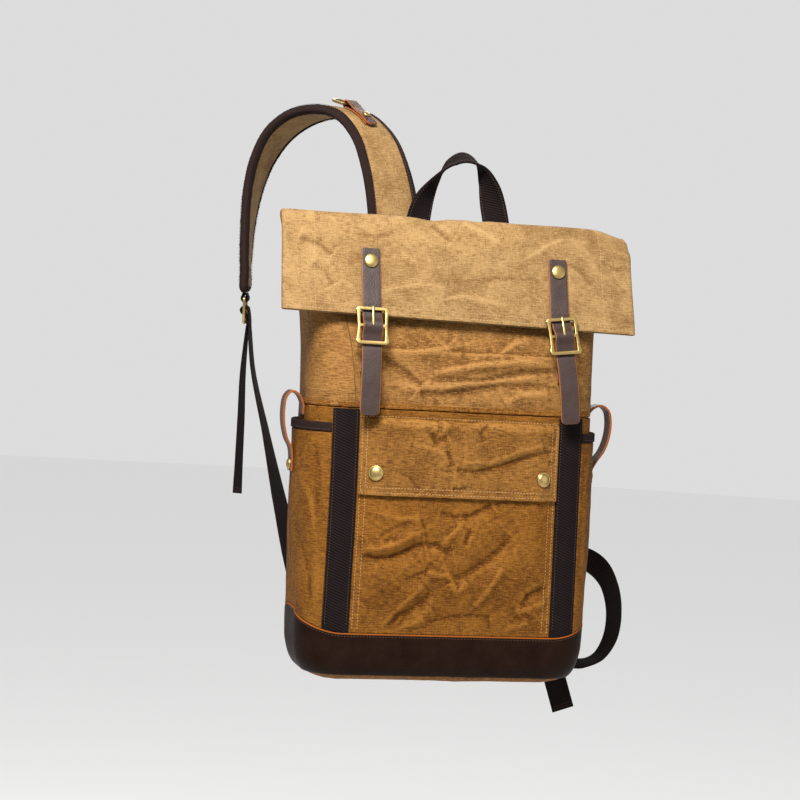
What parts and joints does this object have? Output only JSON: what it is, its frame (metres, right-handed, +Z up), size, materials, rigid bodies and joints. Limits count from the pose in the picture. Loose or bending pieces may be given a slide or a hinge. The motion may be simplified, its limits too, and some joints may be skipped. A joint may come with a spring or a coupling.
{
  "type": "rolltop backpack",
  "caption": "Rolltop backpack in waxed canvas and leather, hanging by its left shoulder strap, with buckled closure straps, front and side pockets and a carrying handle.",
  "frame": {"origin": "underside of the left shoulder strap at its highest point, where it rests on a shoulder", "axes": "+Z up, the front of the bag faces -Y, +X to the right as the front is seen"},
  "size_m": [0.4238, 0.3726, 0.6652],
  "materials": {
    "waxed_canvas": "golden brown waxed cotton canvas, matt with soft creases",
    "light_canvas": "light mustard waxed cotton canvas, matt",
    "brown_leather": "dark purple-brown pull-up leather, soft sheen",
    "tan_leather": "red-brown leather with raw orange edges",
    "webbing": "near-black brown twill cotton webbing",
    "binding": "dark brown woven binding tape",
    "brass": "antique pale brass, satin"
  },
  "bodies": {
    "bag": {"base_panel": "waxed_canvas", "lower_body": "waxed_canvas", "front_pocket": "waxed_canvas", "pocket_flap": "waxed_canvas", "side_pocket_left": "waxed_canvas", "side_pocket_right": "waxed_canvas", "roll_top": "light_canvas", "shoulder_pad_left": "light_canvas", "shoulder_pad_right": "light_canvas", "base_band": "brown_leather", "closure_strap_left": "brown_leather", "closure_strap_right": "brown_leather", "buckle_anchor_left": "brown_leather", "buckle_anchor_right": "brown_leather", "side_loop_left": "tan_leather", "side_loop_right": "tan_leather", "ring_tab": "tan_leather", "webbing_strip_left": "webbing", "webbing_strip_right": "webbing", "handle": "webbing", "adjuster_tie_left": "webbing", "adjuster_tie_right": "webbing", "lower_webbing_left": "webbing", "lower_webbing_right": "webbing", "pocket_binding_left": "binding", "pocket_binding_right": "binding", "strap_binding_left": "binding", "strap_binding_right": "binding", "flap_snap_left": "brass", "flap_snap_right": "brass", "loop_snap_left": "brass", "loop_snap_right": "brass", "buckle_frame_left": "brass", "buckle_frame_right": "brass", "buckle_prong_left": "brass", "buckle_prong_right": "brass", "strap_rivet_left": "brass", "strap_rivet_right": "brass", "tab_rivet": "brass", "adjuster_left": "brass", "adjuster_right": "brass"},
    "left_ring": {"d_ring": "brass"}
  },
  "joints": [
    {"name": "left_ring_hinge", "type": "hinge", "parent": "bag", "child": "left_ring", "pos_m": [0.0237, -0.032, 0.0129], "axis": [0.8178, 0.5748, 0.0271], "range_deg": [0, 110]}
  ]
}
